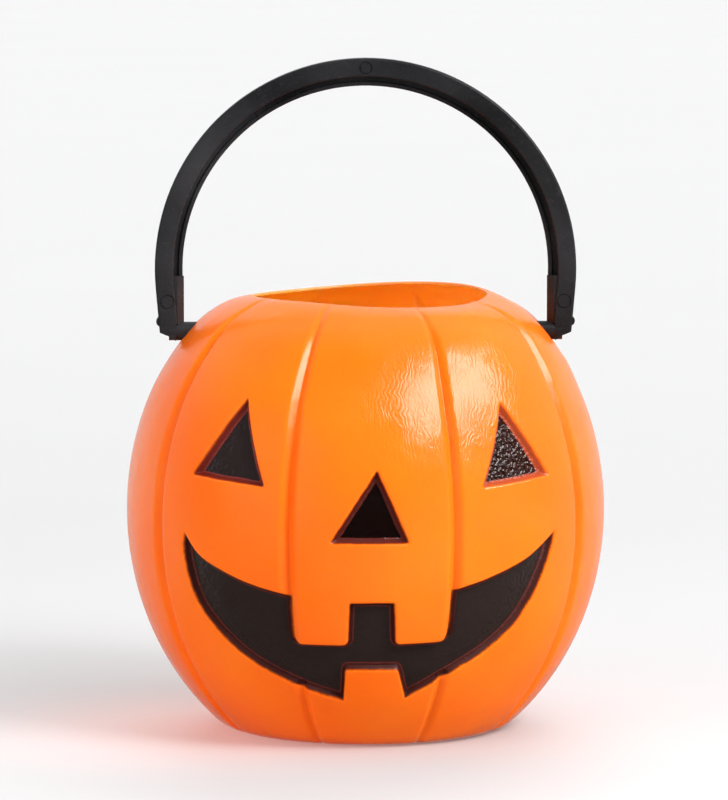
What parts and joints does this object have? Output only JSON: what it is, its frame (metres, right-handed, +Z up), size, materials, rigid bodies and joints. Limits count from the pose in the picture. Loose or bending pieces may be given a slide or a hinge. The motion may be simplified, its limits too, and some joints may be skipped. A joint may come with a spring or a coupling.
{
  "type": "candy pail",
  "caption": "Lobed pumpkin-shaped candy pail with a recessed, painted jack-o'-lantern face, an open top and a carrying handle that folds down to the front or back.",
  "frame": {"origin": "on the pail's upright axis, in the plane it stands on", "axes": "+Z up, -Y the way the face looks, +X across the face along the handle's hinge axis"},
  "size_m": [0.216, 0.216, 0.302],
  "materials": {
    "orange_plastic": "satin blow-moulded plastic",
    "black_plastic": "satin",
    "black_paint": "sprayed paint"
  },
  "bodies": {
    "pail": {"pail_shell": "orange_plastic", "left_eye_paint": "black_paint", "right_eye_paint": "black_paint", "nose_paint": "black_paint", "mouth_paint": "black_paint"},
    "handle": {"handle": "black_plastic"}
  },
  "joints": [
    {"name": "handle_swing", "type": "hinge", "parent": "pail", "child": "handle", "pos_m": [0, 0, 0.179], "axis": [1, 0, 0], "range_deg": [-94, 94]}
  ]
}
